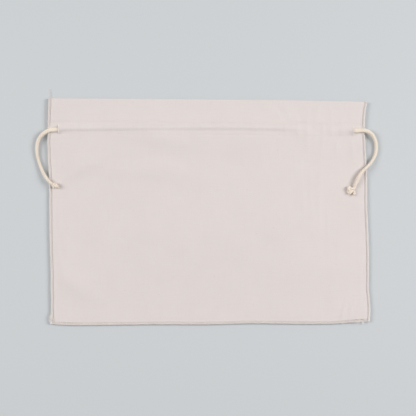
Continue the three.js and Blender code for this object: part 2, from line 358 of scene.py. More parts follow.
def smoothPath(points, spacing):
    # evenly spaced points on one smooth curve through the given ones
    points = [Vector(p) for p in points]
    padded = [points[0] * 2 - points[1], *points, points[-1] * 2 - points[-2]]
    dense = []
    for a, b, c, d in zip(padded, padded[1:], padded[2:], padded[3:]):
        dense += interpolate_bezier(b, b + (c - a) / 6, c - (d - b) / 6, c, 13)[:-1]
    dense.append(points[-1])
    gone = [0.0]
    for a, b in zip(dense, dense[1:]):
        gone.append(gone[-1] + (b - a).length)
    count = max(2, round(gone[-1] / spacing))
    path = []
    for i in range(count + 1):
        want = gone[-1] * i / count
        k = min(max(bisect(gone, want), 1), len(gone) - 1)
        share = (want - gone[k - 1]) / max(gone[k] - gone[k - 1], 1e-12)
        path.append(dense[k - 1].lerp(dense[k], share))
    return path


def pathLength(path):
    return sum((b - a).length for a, b in zip(path, path[1:]))


def woundPath(path, radius, pitch):
    # a thread that winds round a path
    turns = pathLength(path) / pitch
    count = round(turns * 8)  # points, eight to a turn
    last = len(path) - 1
    line = []
    for i in range(count + 1):
        at = i / count * last
        k = min(int(at), last - 1)
        ahead = (path[k + 1] - path[k]).normalized()
        aside = ahead.cross(Vector((0, 0, 1))).normalized()
        angle = i / count * turns * math.tau
        out = aside * math.cos(angle) + aside.cross(ahead) * math.sin(angle)
        line.append(path[k].lerp(path[k + 1], at - k) + out * radius)
    return line


def addTube(bm, path, radius, sides, relief=None, flat=None, turns=1.0):
    # a strand along a path: a grid rolled up and closed, with its turn and length as UV
    uv = bm.loops.layers.uv.get("along") or bm.loops.layers.uv.new("along")
    deep = bm.verts.layers.float.get("relief") or bm.verts.layers.float.new("relief")
    last = len(path) - 1
    length = pathLength(path)
    tangents = [(path[min(i + 1, last)] - path[max(i - 1, 0)]).normalized() for i in range(last + 1)]
    normal = tangents[0].orthogonal().normalized()
    normals = [normal]
    for before, after in zip(tangents, tangents[1:]):
        normal = before.rotation_difference(after) @ normal
        normal = (normal - after * normal.dot(after)).normalized()
        normals.append(normal)
    made = bmesh.ops.create_grid(bm, x_segments=sides, y_segments=last, size=1, calc_uvs=True)["verts"]
    faces = {face for vert in made for face in vert.link_faces}
    for face in faces:
        for loop in face.loops:
            loop[uv].uv.x *= turns
            loop[uv].uv.y *= length
    for vert in made:
        turn = (vert.co.x + 1) / 2
        ring = round((vert.co.y + 1) / 2 * last)
        out = normals[ring] * math.cos(turn * math.tau)
        out += tangents[ring].cross(normals[ring]) * math.sin(turn * math.tau)
        thick = radius(ring / last) if callable(radius) else radius
        height = relief(turn, ring / last * length) if relief else (1.0, 0.0)
        # the strand's height, which the cord's finish turns into painted shade in its crevices
        vert[deep] = height[0]
        out *= thick + height[1]
        if flat:
            out.z *= flat(ring / last) if callable(flat) else flat
        vert.co = path[ring] + out
    bmesh.ops.remove_doubles(bm, verts=made, dist=1e-7)
    alive = [vert for vert in made if vert.is_valid]
    rims = list({edge for vert in alive for edge in vert.link_edges if edge.is_boundary})
    bmesh.ops.holes_fill(bm, edges=rims, sides=0)
    skin = list({face for vert in alive for face in vert.link_faces})
    bmesh.ops.recalc_face_normals(bm, faces=skin)


# Drawstring: the routes of its two free ends in millimetres, lower than in the solids where the cloth is,
# and how thick it lies

leftRoute = [
    (-157.5, 90.3, 3.8), (-161, 90.25, 4.2), (-164.5, 90.2, 4.5), (-168, 90.15, 4.5),
    (-172, 89.9, 4.65), (-176.1, 89, 5.0), (-181.2, 86, 4.7), (-186, 81.2, 3.1),
    (-188.6, 75.2, 2.35), (-189.2, 69, 2.2), (-188.9, 63.2, 2.0), (-187.4, 56.7, 1.9),
    (-184.7, 48.8, 2.3), (-181, 41.4, 3.5), (-177.6, 36.5, 4.5), (-175, 33.2, 4.8),
    (-172.4, 31, 4.9),
]
rightRoute = [
    (151.5, 88.9, 3.7), (155, 88.9, 4.2), (158.6, 89, 4.5), (162, 89.1, 4.5),
    (166, 89.3, 4.65), (170.2, 89.2, 5.0), (174.4, 88, 4.7), (179, 84.7, 3.7),
    (182.2, 79.4, 2.5), (183.7, 73.2, 2.1), (183.4, 66.6, 2.0), (181.7, 60.8, 2.3),
    (178.2, 54.8, 3.5), (173.2, 49.4, 4.8), (168, 44.4, 5.6), (164.2, 39, 6.0),
    (161.6, 33.4, 5.9), (159.6, 29, 5.4),
]
drawstring = {
    "diameter": 4.0,
    "sides": 36,
    "spacing": 0.28,
    "carriers": 4,  # strands of the braid that run each way
    "lay": 2.5,  # along the cord, from one strand to the next
    "relief": 0.36,
    "meanHeight": 0.65,  # of the strands, which keeps the cord's thickness
    "inCasing": 1.1,  # radius where the casing squeezes it
    "exitFlat": 0.54,  # height over width where it comes out
    "round": (0.12, 0.36),  # from where to where along it grows round again
    "crown": 2.4,  # how square the strands' backs are
    "girth": [  # the soft cord is fuller in some places than in others
        {"along": 0, "left": 0.6, "right": 0.6},
        {"along": 0.05, "left": 0.9, "right": 0.9},
        {"along": 0.09, "left": 1.12, "right": 1.13},
        {"along": 0.2, "left": 1.1, "right": 1.08},
        {"along": 0.32, "left": 1.02, "right": 0.97},
        {"along": 0.45, "left": 0.92, "right": 0.9},
        {"along": 0.57, "left": 0.81, "right": 0.81},
        {"along": 0.67, "left": 0.77, "right": 0.72},
        {"along": 0.77, "left": 0.82, "right": 0.76},
        {"along": 0.87, "left": 0.85, "right": 0.82},
        {"along": 0.95, "left": 0.84, "right": 0.8},
        {"along": 1, "left": 0.78, "right": 0.75},
    ],
}


def braid(turn, along):
    # how high the braid stands, as a share and as a change of radius in metres
    d = drawstring
    a = d["carriers"] * turn + along / mm / d["lay"]
    b = d["carriers"] * turn - along / mm / d["lay"]
    over = (math.floor(a) + math.floor(b)) % 2 == 0
    across, down = (a % 1, b % 1) if over else (b % 1, a % 1)
    height = (1 - abs(2 * across - 1) ** d["crown"]) * (1 - 0.5 * (2 * down - 1) ** 2)
    return height, (height - d["meanHeight"]) * d["relief"] * mm


def makeCord(side, route):
    d = drawstring
    path = smoothPath([Vector(point) * mm for point in route], d["spacing"] * mm)
    girth = tableCurve(d["girth"], "along", side)
    bm = bmesh.new()

    def thickness(share):
        return d["diameter"] / 2 * girth(share) * mm

    def flatness(share):
        return between(d["exitFlat"], 1, smoothStep(share, *d["round"]))

    addTube(bm, path, thickness, d["sides"], braid, flatness)
    return finishPiece(side + "Cord", bm, "cord", ["drawstring_" + side]), path


leftCord, leftPath = makeCord("left", leftRoute)
rightCord, rightPath = makeCord("right", rightRoute)


# Knots: the left one wraps the cord and is pulled tight, the right one is a looser overhand loop

knots = {
    "left": {"middle": (-168.9, 28.8, 5.0), "heading": -15, "half": 2.3, "coil": 1.8, "turns": 1.6,
             "tail": (3.7, -1.0, -1.1), "strand": 1.4, "seed": 11},
    "right": {"middle": (155.1, 23.9, 4.6), "loop": 1.15, "rise": 0.8, "open": 0.55,
              "tail": (3.4, -4.6, -0.7), "strand": 1.45, "seed": 23},
}
knotDraw = {
    "spacing": 0.3,
    "sides": 24,
    "flat": 0.78,  # height over width
    "swell": 0.13,  # where the cord goes in
    "fray": 0.2,  # how much the cut end spreads
    "fibres": 70,  # loose ones at the cut end
    "fibreRadius": 0.11,
    "fibreReach": (0.5, 1.4),
    "fibreSpread": 1.05,
}


def turned(x, y, angle):
    return x * math.cos(angle) - y * math.sin(angle), x * math.sin(angle) + y * math.cos(angle)


def wrappedLine(k):
    # along the cord, back over it in a coil, and on through to the cut tail
    half, coil = k["half"], k["coil"]
    line = [(-half, 0.3, -0.3), (0, 0.5, 0.1), (half, 0.4, 0.6)]
    steps = 12
    for i in range(steps + 1):
        share = i / steps
        angle = math.radians(70) + share * k["turns"] * math.tau
        line.append((half * (0.85 - 1.7 * share), -coil * math.cos(angle), coil * math.sin(angle)))
    line += [(-half * 0.6, -0.9, -0.9), (half * 0.2, -0.8, -0.7), (half, -0.7, -0.6)]
    turn = math.radians(k["heading"])
    return [(*turned(a, b, turn), c) for a, b, c in line]


def loopedLine(k):
    # a trefoil opened at the lobe that points to the right, where the cord comes in and the tail leaves
    line = []
    steps = 26
    for i in range(steps + 1):
        t = math.pi / 3 + between(k["open"], math.tau - k["open"], i / steps)
        x, y = math.sin(t) + 2 * math.sin(2 * t), math.cos(t) - 2 * math.cos(2 * t)
        x, y = turned(x, y, -math.pi / 6)
        line.append((x * k["loop"], y * k["loop"], -k["rise"] * math.sin(3 * t)))
    return [(4.0, 2.4, 0.1), *line, (3.9, -1.7, -0.4), (4.1, -3.2, -0.8)]


def makeKnot(side, route, line):
    k, d = knots[side], knotDraw
    middle = Vector(k["middle"])
    points = [Vector(route[-1]).lerp(Vector(route[-2]), 0.35), Vector(route[-1])]
    points += [middle + Vector(point) for point in [*line, k["tail"]]]
    path = smoothPath([point * mm for point in points], d["spacing"] * mm)
    bm = bmesh.new()

    def thickness(share):
        goingIn = 1 - smoothStep(share, 0.04, 0.15)
        atCut = smoothStep(share, 0.93, 1)
        return k["strand"] * (1 + d["fray"] * atCut + d["swell"] * goingIn) * mm

    def fibreThickness(share):
        return d["fibreRadius"] * (1 - 0.6 * share) * mm

    addTube(bm, path, thickness, d["sides"], braid, d["flat"])
    chance = random.Random(k["seed"])
    tip, out = path[-1], (path[-1] - path[-3]).normalized()
    for _ in range(d["fibres"]):
        spread = Vector((chance.uniform(-1, 1), chance.uniform(-1, 1), chance.uniform(-1, 1)))
        foot = tip + spread * d["fibreSpread"] * mm
        reach = chance.uniform(*d["fibreReach"]) * mm
        bend = (out + spread * 0.6).normalized()
        bent = [foot - out * 0.6 * mm, foot + bend * reach * 0.5, foot + (bend + spread * 0.35) * reach]
        addTube(bm, smoothPath(bent, reach / 3), fibreThickness, 4, turns=0.02)
    return finishPiece(side + "Knot", bm, "cord", ["knot_" + side])


leftKnot = makeKnot("left", leftRoute, wrappedLine(knots["left"]))
rightKnot = makeKnot("right", rightRoute, loopedLine(knots["right"]))

for piece, path, knot, route in (
    (leftCord, leftPath, leftKnot, leftRoute),
    (rightCord, rightPath, rightKnot, rightRoute),
):
    pathLength(path)
print("cord ends and knots ready")


# Shape of the bag, in millimetres as in the solids

bag = {
    "width": 355,
    "height": 249.4,
    "loft": 4.0,  # of the front panel over the seams
    "rise": 115,  # how far in from a seam it is reached
    "flatEdge": 3.0,  # along the seams
    "roll": 0.35,  # of the cloth inside the seams
    "rollRun": (3, 9),
    "mouthFall": 44,  # how far in from the mouth the bag starts to close
    "parted": 0.06,  # of the loft that is left at the mouth
    "partedVaries": 0.08,
    "unevenBroad": 0.16,
    "unevenSmall": 0.05,
    "waverSlow": 0.28,  # of the sewn edges
    "waverQuick": 0.12,
}
layers = {
    "thick": 0.7,
    "frontEdge": 1.8,  # middle of the front panel at the seams
    "backEdge": 1.0,
    "backRest": 0.03,  # between the back panel and the floor
    "backRun": 7,  # how far in from a seam it comes down to that
    "hemGap": 0.75,  # from one layer of the hem to the other
    "sewnIn": 0.4,  # the cloth ends this far inside the outline
}
hem = {
    "upperStitch": 25.2,  # down from the mouth
    "lowerStitch": 38.8,
    "crest": 33,  # of the ridge over the cord
    "end": 40.2,
    "fadeRun": 30,  # below its end, where the outer layer comes down to the inner one
    "dip": 0.2,  # of the cloth along the stitches
    "dipWidth": 0.8,
}
seam = {
    "needle": 2.35,  # in from the outline
    "groove": 0.5,  # its half width
    "sideDepth": 0.3,
    "bottomDepth": 0.65,
    "rollAt": 4,
    "rollWidth": 1.1,
    "rollHeight": 0.12,
}
casing = {
    "exit": 12.5,  # buttonholes, in from the outline
    "slit": 4.1,  # half the length of a buttonhole
    "cover": 0.4,  # from the cord to the middle of the cloth over it
    "lean": 1.3,  # how far the cord lies towards the mouth, away from its exits
    "sag": 0.42,  # how far it sinks into the layer under it
    "calmSag": 2.05,
    "exitRadius": 1.3,  # of the cord where it comes out, from its middle up
    "exitLift": 0.5,  # how much higher it lies there
    "exitRun": 7,  # how far in that reaches
    "press": 0.4,  # how far the flattened cord presses the cloth down outside
    "calm": (74, 128),  # where the ridge turns into soft tucks, along x
    "calmFlat": 0.68,  # height over width of the cord there
    "settle": 17,  # how far in from the exits it has sunk
    "lowest": 1.9,  # the layer under it sinks no lower
    "sagWidth": 4,
    "pressWidth": 3.2,
    "arch": 6.2,  # half widths of the ridge: at the exits, above it, below it, and where it is calm
    "upperSlope": 6.4,
    "lowerSlope": 2.5,
    "calmSlope": 6.5,
}
sideInsets = [
    {"down": 0, "left": 1, "right": 3.6},
    {"down": 0.045, "left": 0.7, "right": 5.6},
    {"down": 0.12, "left": 0.2, "right": 6.7},
    {"down": 0.2, "left": 0, "right": 5.6},
    {"down": 0.28, "left": 0.6, "right": 4.4},
    {"down": 0.36, "left": 1.75, "right": 3.8},
    {"down": 0.47, "left": 2, "right": 3.7},
    {"down": 0.59, "left": 2.2, "right": 2.5},
    {"down": 0.72, "left": 3.1, "right": 1.8},
    {"down": 0.86, "left": 3.7, "right": 1.8},
    {"down": 0.945, "left": 3.85, "right": 0},
    {"down": 1, "left": 3, "right": 1},
]
endInsets = [
    {"across": 0, "mouth": 0, "bottom": 1.3, "crest": 1.4},
    {"across": 0.06, "mouth": 0.3, "bottom": 0, "crest": 1.3},
    {"across": 0.2, "mouth": 0.7, "bottom": 0.3, "crest": 0.6},
    {"across": 0.35, "mouth": 1.1, "bottom": 0.75, "crest": 0},
    {"across": 0.5, "mouth": 1.5, "bottom": 0.75, "crest": -0.9},
    {"across": 0.63, "mouth": 2, "bottom": 1.9, "crest": -0.8},
    {"across": 0.76, "mouth": 2.4, "bottom": 1.3, "crest": -0.4},
    {"across": 0.88, "mouth": 3.2, "bottom": 1.4, "crest": 0},
    {"across": 0.94, "mouth": 3.5, "bottom": 2.8, "crest": 0.1},
    {"across": 1, "mouth": 4, "bottom": 3.9, "crest": 0.2},
]
gathers = [
    {"x": -128, "width": 9, "height": 0.2},
    {"x": -62, "width": 12, "height": 0.2},
    {"x": 26, "width": 11, "height": 0.2},
    {"x": 81, "width": 8, "height": 0.35},
    {"x": 108, "width": 8, "height": 0.4},
    {"x": 126, "width": 7, "height": 0.35},
    {"x": 143, "width": 7, "height": 0.3},
]
folds = [
    {"x": 18, "y": -72, "heading": 8, "length": 22, "width": 9, "height": 0.35},
    {"x": -40, "y": -20, "heading": 12, "length": 70, "width": 20, "height": 0.3},
]
puckers = [  # short tucks across the casing, where the cord has drawn it up
    {"x": 84, "width": 2.8, "height": 0.35, "reach": 9},
    {"x": 97, "width": 2.6, "height": 0.4, "reach": 10},
    {"x": 107.5, "width": 2.4, "height": 0.5, "reach": 12},
    {"x": 116, "width": 2.4, "height": 0.45, "reach": 11},
    {"x": 125, "width": 2.6, "height": 0.5, "reach": 12},
    {"x": 134, "width": 2.6, "height": 0.4, "reach": 10},
    {"x": 146, "width": 3.0, "height": 0.35, "reach": 10},
    {"x": -150, "width": 2.6, "height": 0.25, "reach": 9},
    {"x": -139, "width": 2.6, "height": 0.2, "reach": 8},
]
creases = [  # lines and rolls in the cloth, some with another width on their far side
    {"x": 80.5, "y": 107, "heading": -60, "length": 15, "width": 3.2, "height": -0.5},
    {"x": 100.5, "y": 107, "heading": 91, "length": 15, "width": 5.5, "height": -0.5},
    {"x": 119, "y": 107, "heading": 88, "length": 15, "width": 4.2, "height": 0.45},
    {"x": 133, "y": 107, "heading": 92, "length": 14, "width": 4, "height": 0.4},
    {"x": 140, "y": 73, "heading": 95, "length": 11, "width": 4, "height": 0.4},
    {"x": 158, "y": 68, "heading": 96, "length": 10, "width": 3.5, "height": 0.4},
    {"x": 106, "y": 34, "heading": 94, "length": 48, "width": 3, "height": -0.3},
    {"x": 121, "y": 30, "heading": 88, "length": 40, "width": 3.2, "height": 0.25},
    {"x": 126.5, "y": -10, "heading": 90, "length": 22, "width": 2.2, "height": -0.28},
    {"x": -117, "y": 37, "heading": 65, "length": 15, "width": 2.8, "height": 0.45},
    {"x": -133, "y": 53, "heading": 27, "length": 28, "width": 9, "far": 24, "height": 2.2},
    {"x": -92, "y": 46, "heading": -3, "length": 32, "width": 9, "far": 11, "height": 1.2},
    {"x": -44, "y": 46, "heading": -15, "length": 28, "width": 15, "far": 8.5, "height": 0.8},
    {"x": -48, "y": 80, "heading": -11, "length": 29, "width": 10, "far": 12, "height": 1.8},
    {"x": -147, "y": -79, "heading": -30, "length": 30, "width": 11, "far": 22, "height": 2.1},
    {"x": 147.5, "y": -110, "heading": 78, "length": 8, "width": 1.9, "height": 0.75},
    {"x": 156, "y": -110, "heading": 70, "length": 7, "width": 2.0, "height": 0.5},
]
leftInset = tableCurve(sideInsets, "down", "left")
rightInset = tableCurve(sideInsets, "down", "right")
mouthInset = tableCurve(endInsets, "across", "mouth")
bottomInset = tableCurve(endInsets, "across", "bottom")
crestStray = tableCurve(endInsets, "across", "crest")
clothWidth = bag["width"] - 2 * layers["sewnIn"]
clothHeight = bag["height"] - layers["sewnIn"]


def ripple(along, side):
    # small waver of a sewn edge
    slow = noise.noise((along / 9, side * 7.3, 0))
    quick = noise.noise((along / 3.1, side * 3.9, 5))
    return bag["waverSlow"] * slow + bag["waverQuick"] * quick


def inOutline(across, down, margin):
    drop = down * bag["height"]
    reach = across * bag["width"]
    left = -bag["width"] / 2 + leftInset(down) + margin + ripple(drop, 1)
    right = bag["width"] / 2 - rightInset(down) - margin + ripple(drop, 2)
    mouth = bag["height"] / 2 - mouthInset(across)
    bottom = -bag["height"] / 2 + bottomInset(across) + margin + ripple(reach, 3)
    return between(left, right, across), between(mouth, bottom, down)


def clothSpot(fromLeft, fromMouth):
    # a point of the cloth, with its place and its distances from the outline
    across = fromLeft / clothWidth
    inCasing = max(0, 1 - abs(fromMouth - hem["crest"]) / (hem["crest"] - hem["upperStitch"]))
    down = (fromMouth + crestStray(across) * inCasing) / clothHeight
    x, y = inOutline(across, down, layers["sewnIn"])
    return {
        "x": x,
        "y": y,
        "side": min(fromLeft, clothWidth - fromLeft) + layers["sewnIn"],
        "mouth": fromMouth,
        "bottom": clothHeight - fromMouth + layers["sewnIn"],
    }


def slackOf(spot):
    # how much of the loft there is at a point
    edge, rise = bag["flatEdge"], bag["rise"]
    parted = bag["parted"] + bag["partedVaries"] * noise.noise((spot["x"] / 45, 2.5, 0))
    mouth = between(parted, 1, smoothStep(spot["mouth"], 0, bag["mouthFall"]))
    fromSide = smoothStep(spot["side"], edge, edge + rise)
    return fromSide * smoothStep(spot["bottom"], edge, edge + rise) * mouth


def foldLift(rows, spot):
    # the sum of long soft humps and hollows at a point
    lift = 0
    for fold in rows:
        turn = math.radians(fold["heading"])
        dx, dy = spot["x"] - fold["x"], spot["y"] - fold["y"]
        along = dx * math.cos(turn) + dy * math.sin(turn)
        aside = dy * math.cos(turn) - dx * math.sin(turn)
        width = fold.get("far", fold["width"]) if aside > 0 else fold["width"]
        lift += fold["height"] * hump(along, fold["length"]) * hump(aside, width)
    return lift


def softFolds(spot):
    lift = foldLift(folds, spot)
    fade = 1 - smoothStep(spot["mouth"], hem["lowerStitch"], 2 * hem["lowerStitch"])
    for gather in gathers:
        lift += fade * gather["height"] * hump(spot["x"] - gather["x"], gather["width"])
    return lift


def tucks(spot):
    lift = 0
    for pucker in puckers:
        near = hump(spot["x"] - pucker["x"], pucker["width"])
        lift += pucker["height"] * near * hump(spot["mouth"] - hem["crest"], pucker["reach"])
    lift += foldLift(creases, spot) * smoothStep(spot["mouth"], 0, 6)
    return lift * smoothStep(spot["side"], 4, 16)


def unevenness(spot):
    broad = noise.noise((spot["x"] / 62, spot["y"] / 48, 1))
    small = noise.noise((spot["x"] / 17, spot["y"] / 21, 5))
    return bag["unevenBroad"] * broad + bag["unevenSmall"] * small


def seamDip(spot):
    # groove along the needle thread of the overlock, with a low roll inside it
    inward = min(spot["side"], spot["bottom"])
    depth = seam["sideDepth"] if spot["side"] < spot["bottom"] else seam["bottomDepth"]
    roll = seam["rollHeight"] * hump(inward - seam["rollAt"], seam["rollWidth"])
    return roll - depth * hump(inward - seam["needle"], seam["groove"])


def stitchDip(spot):
    rows = (hem["upperStitch"], hem["lowerStitch"])
    dip = sum(hump(spot["mouth"] - row, hem["dipWidth"]) for row in rows)
    return -hem["dip"] * dip * smoothStep(spot["side"], 3, 6)


def frontBase(spot):
    # middle of the front panel's lowest layer
    rolled = smoothStep(spot["side"], *bag["rollRun"]) * smoothStep(spot["bottom"], *bag["rollRun"])
    loft = bag["loft"] + softFolds(spot) + unevenness(spot)
    return layers["frontEdge"] + bag["roll"] * rolled + slackOf(spot) * loft


def cordInCasing(spot):
    # height of the cord's middle over the lowest layer, its lean to the mouth, how far it sinks,
    # its radius, and how near it is to an exit
    exitFrom = casing["exit"]
    inboard = smoothStep(spot["side"], exitFrom, exitFrom + casing["settle"])
    calm = smoothStep(spot["x"], *casing["calm"])
    room = frontBase(spot) - casing["lowest"]
    sag = min(between(casing["sag"], casing["calmSag"], calm), max(0, room)) * inboard
    nearExit = 1 - smoothStep(spot["side"], exitFrom, exitFrom + casing["exitRun"])
    squeezed = drawstring["inCasing"] * between(1, casing["calmFlat"], calm)
    radius = between(squeezed, casing["exitRadius"], nearExit)
    rise = layers["thick"] / 2 + radius - sag + casing["exitLift"] * nearExit
    lean = casing["lean"] * smoothStep(spot["side"], exitFrom + 0.5, exitFrom + 8) * (1 - calm)
    return rise, lean, sag, radius, nearExit


def ridge(spot):
    # the outer layer over the cord: a round arch at the exits, then a long slope towards the mouth
    if spot["side"] < casing["exit"]:
        pressed = smoothStep(spot["side"], 2, casing["exit"] - 4)
        return -casing["press"] * pressed * hump(spot["mouth"] - hem["crest"], casing["pressWidth"])
    rise, lean, _, radius, nearExit = cordInCasing(spot)
    top = rise + radius + casing["cover"] - layers["hemGap"]
    off = spot["mouth"] - hem["crest"] + lean
    if off < 0:
        slope = swell(off, casing["upperSlope"])
    else:
        calm = smoothStep(spot["x"], *casing["calm"])
        slope = between(hump(off, casing["lowerSlope"]), swell(off, casing["calmSlope"]), calm)
    return top * between(slope, swell(off, casing["arch"]), nearExit)


def frontHeight(spot, lift, outer):
    z = frontBase(spot) + lift * layers["hemGap"]
    if outer:
        return z + ridge(spot) + tucks(spot) + seamDip(spot) + stitchDip(spot)
    sag = cordInCasing(spot)[2]
    return z - sag * hump(spot["mouth"] - hem["crest"], casing["sagWidth"])


def backHeight(spot, lift, *_):
    inward = min(spot["side"], spot["bottom"]) - bag["flatEdge"]
    rest = layers["thick"] / 2 + layers["backRest"]
    z = between(layers["backEdge"], rest, smoothStep(inward, 0, layers["backRun"]))
    return z + lift * layers["hemGap"] * smoothStep(spot["side"], 6, 13)


# Panels: one sheet each, which runs up to the mouth, folds over and comes down inside as the hem

panelGrid = {
    "column": 1.75,
    "row": 2.0,
    "hemRow": 0.85,
    "innerRow": 2,
    "foldReach": 0.5,  # of the fold at the mouth
    "foldTurns": (60, 30, 0, -30, -60),
    "backColumn": 4,
    "backRow": 5,
    "backHemRow": 3,
}
edgeStations = [0, 0.5, 1.0, 1.4, 1.75, 2.1, 2.45, 2.85, 3.4, 4.2, 5.2, 6.4, 7.8]  # in from a seam
slitStation = casing["exit"] - layers["sewnIn"]
slitHalfGap = 0.06


def panelColumns(about):
    nearExit = [-2.8, -1.6, -0.9, -0.45, -slitHalfGap, slitHalfGap, 0.45, 0.95, 1.6, 2.5, 3.8]
    half = edgeStations + [slitStation + step for step in nearExit]
    half += evenSteps(half[-1], clothWidth / 2, about)
    return half + [clothWidth - station for station in reversed(half[:-1])]


def hemLift(fromMouth):
    # how much of the hem's thickness lies under the outer layer
    return 1 - smoothStep(fromMouth, hem["end"] - 3, hem["end"] + hem["fadeRun"])


def panelRows(about, hemAbout):
    # from the bottom seam up to the mouth, round the fold and down the inside of the hem
    reach = panelGrid["foldReach"]
    bottom = [clothHeight - station for station in edgeStations]
    body = evenSteps(bottom[-1], hem["end"] + 3, about)
    outer = bottom + body + evenSteps(body[-1], reach, hemAbout)
    rows = [(down, hemLift(down), True) for down in outer]
    for turn in panelGrid["foldTurns"]:
        angle = math.radians(turn)
        rows.append((reach * (1 - math.cos(angle)), 0.5 + 0.5 * math.sin(angle), False))
    inner = [reach, *evenSteps(reach, hem["end"], panelGrid["innerRow"])]
    return rows + [(down, 0.0, False) for down in inner]


def makePanel(columns, rows, heightAt):
    # the sheet, and its faces that lie in the buttonholes
    bm = bmesh.new()
    uv = bm.loops.layers.uv.new("cut")
    across, along = len(columns) - 1, len(rows) - 1
    gone = [0.0]
    for a, b in zip(rows, rows[1:]):
        gone.append(gone[-1] + max(abs(b[0] - a[0]), abs(b[1] - a[1]) * layers["hemGap"]))
    bmesh.ops.create_grid(bm, x_segments=across, y_segments=along, size=1)
    slits = []
    places = {}
    for vert in bm.verts:
        places[vert] = (round((vert.co.x + 1) / 2 * across), round((vert.co.y + 1) / 2 * along))
    for face in bm.faces:
        for loop in face.loops:
            column, row = places[loop.vert]
            loop[uv].uv = (columns[column] * mm, gone[row] * mm)
        corners = [places[vert] for vert in face.verts]
        width = max(columns[c] for c, _ in corners) - min(columns[c] for c, _ in corners)
        beside = [rows[r] for _, r in corners]
        inSlit = all(outer and abs(down - hem["crest"]) < casing["slit"] for down, _, outer in beside)
        if inSlit and width < 3 * slitHalfGap:
            slits.append(face)
    for vert, (column, row) in places.items():
        down, lift, outer = rows[row]
        spot = clothSpot(columns[column], down)
        vert.co = Vector((spot["x"], spot["y"], heightAt(spot, lift, outer))) * mm
    return bm, slits


def thicken(piece):
    wall = piece.modifiers.new("cloth", "SOLIDIFY")
    wall.thickness = layers["thick"] * mm
    wall.offset = 0


# Front panel, cut open at the two buttonholes
frontColumns = panelColumns(panelGrid["column"])
frontRows = panelRows(panelGrid["row"], panelGrid["hemRow"])
cloth, slits = makePanel(frontColumns, frontRows, frontHeight)
bmesh.ops.delete(cloth, geom=slits, context="FACES")
frontCloth = finishPiece("frontCloth", cloth, "calico", ["front_panel"])
thicken(frontCloth)

# Back panel, flat on the floor with its hem turned in
backColumns = panelColumns(panelGrid["backColumn"])
backRows = panelRows(panelGrid["backRow"], panelGrid["backHemRow"])
backRows = [(down, 0.0 if outer else 1 - lift, outer) for down, lift, outer in backRows]
cloth, _ = makePanel(backColumns, backRows, backHeight)
bmesh.ops.reverse_faces(cloth, faces=cloth.faces[:])
backCloth = finishPiece("backCloth", cloth, "calico", ["back_panel"])
thicken(backCloth)
print("panels ready")


# The cord inside the casing

innerCord = {"margin": 24, "step": 10, "spacing": 0.9, "sides": 18}


def makeInnerCord():
    c = innerCord
    line = [Vector(leftRoute[0])]
    for fromLeft in evenSteps(c["margin"], clothWidth - c["margin"], c["step"]):
        spot = clothSpot(fromLeft, hem["crest"])
        rise, lean, *_ = cordInCasing(spot)
        line.append(Vector((spot["x"], spot["y"] + lean, frontBase(spot) + rise)))
    line.append(Vector(rightRoute[0]))
    path = smoothPath([point * mm for point in line], c["spacing"] * mm)
    bm = bmesh.new()

    def flatness(share):
        x = between(leftRoute[0][0], rightRoute[0][0], share)
        return between(1, casing["calmFlat"], smoothStep(x, *casing["calm"]))

    addTube(bm, path, drawstring["inCasing"] * mm, c["sides"], braid, flatness)
    return finishPiece("casingCord", bm, "cord", ["drawstring_in_casing"])


makeInnerCord()


# Stitching on the cloth: the rows of the hem and the rims of the buttonholes

stitching = {
    "pitch": 3.2,
    "margin": 3,  # from the sides
    "wave": ((0.0, -0.45), (0.14, 0.02), (0.5, 0.12), (0.86, 0.02)),  # along a stitch, over the cloth
    "thread": 0.17,
    "sides": 5,
    "spacing": 0.45,
    "floorRoom": 0.18,  # keeps the row under the back panel off the floor
    "rimOut": 0.38,  # from the slit to the middle of its rim
    "rimPast": 0.2,  # beyond the ends of the slit
    "rimStep": 0.6,
    "rimCore": 0.42,
    "coreSides": 8,
    "rimThread": 0.16,
    "rimReach": 0.62,
    "rimPitch": 0.36,
}


def topOf(fromLeft, fromMouth):
    spot = clothSpot(fromLeft, fromMouth)
    return Vector((spot["x"], spot["y"], frontHeight(spot, hemLift(fromMouth), True) + layers["thick"] / 2))


def underOf(fromLeft, fromMouth):
    spot = clothSpot(fromLeft, fromMouth)
    return Vector((spot["x"], spot["y"], backHeight(spot, 0.0) - layers["thick"] / 2))


def justUnder(fromLeft, fromMouth):
    # where a thread under the back panel stays clear of the floor
    return underOf(fromLeft, fromMouth) + Vector((0, 0, stitching["floorRoom"]))


def addStitchRow(bm, fromMouth, surface, out):
    # one thread that lies on the cloth and dips through it between stitches
    s = stitching
    length = clothWidth - 2 * s["margin"]
    count = round(length / s["pitch"])
    line = []
    for i in range(count):
        for share, height in s["wave"]:
            fromLeft = s["margin"] + (i + share) * length / count
            line.append((surface(fromLeft, fromMouth) + Vector((0, 0, height * out))) * mm)
    addTube(bm, smoothPath(line, s["spacing"] * mm), s["thread"] * mm, s["sides"])


def makeHemStitches():
    bm = bmesh.new()
    for row in (hem["upperStitch"], hem["lowerStitch"]):
        addStitchRow(bm, row, topOf, 1)
    addStitchRow(bm, hem["lowerStitch"], justUnder, -0.3)  # the back panel's hem, lower and upside down
    return finishPiece("hemStitches", bm, "thread", finish="hemThread")


